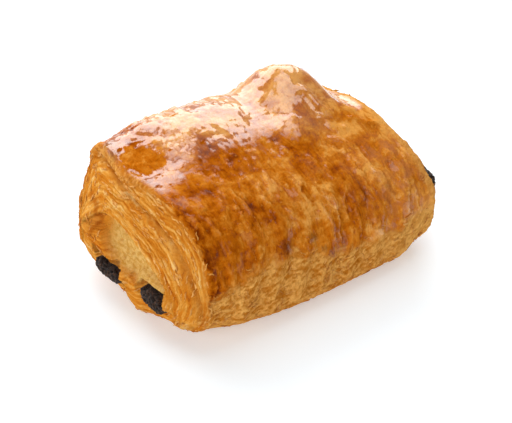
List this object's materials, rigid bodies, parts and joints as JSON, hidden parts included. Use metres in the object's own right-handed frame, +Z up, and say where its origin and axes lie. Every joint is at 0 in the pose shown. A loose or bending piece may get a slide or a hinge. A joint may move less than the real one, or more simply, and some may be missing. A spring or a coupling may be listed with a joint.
{
  "type": "pain au chocolat",
  "caption": "Laminated chocolate pastry roll with a glossy egg-washed crust, layered cut ends and dark chocolate sticks running through it.",
  "frame": {"origin": "middle of the overall box at the level of the flat base, on the table under the pastry", "axes": "+X along the roll towards its far end, -X being the cut end that the picture shows; -Y is the front that the picture shows; +Z up"},
  "size_m": [0.0794, 0.0544, 0.0403],
  "materials": {
    "baked_crust": "golden-brown baked puff pastry, glossy with egg wash on top, matt and paler on the cut ends and along the foot",
    "dark_chocolate": "matt, slightly rough dark chocolate"
  },
  "bodies": {
    "root": {"pastry": "baked_crust", "chocolate_stick_back": "dark_chocolate", "chocolate_stick_front": "dark_chocolate"}
  },
  "joints": []
}
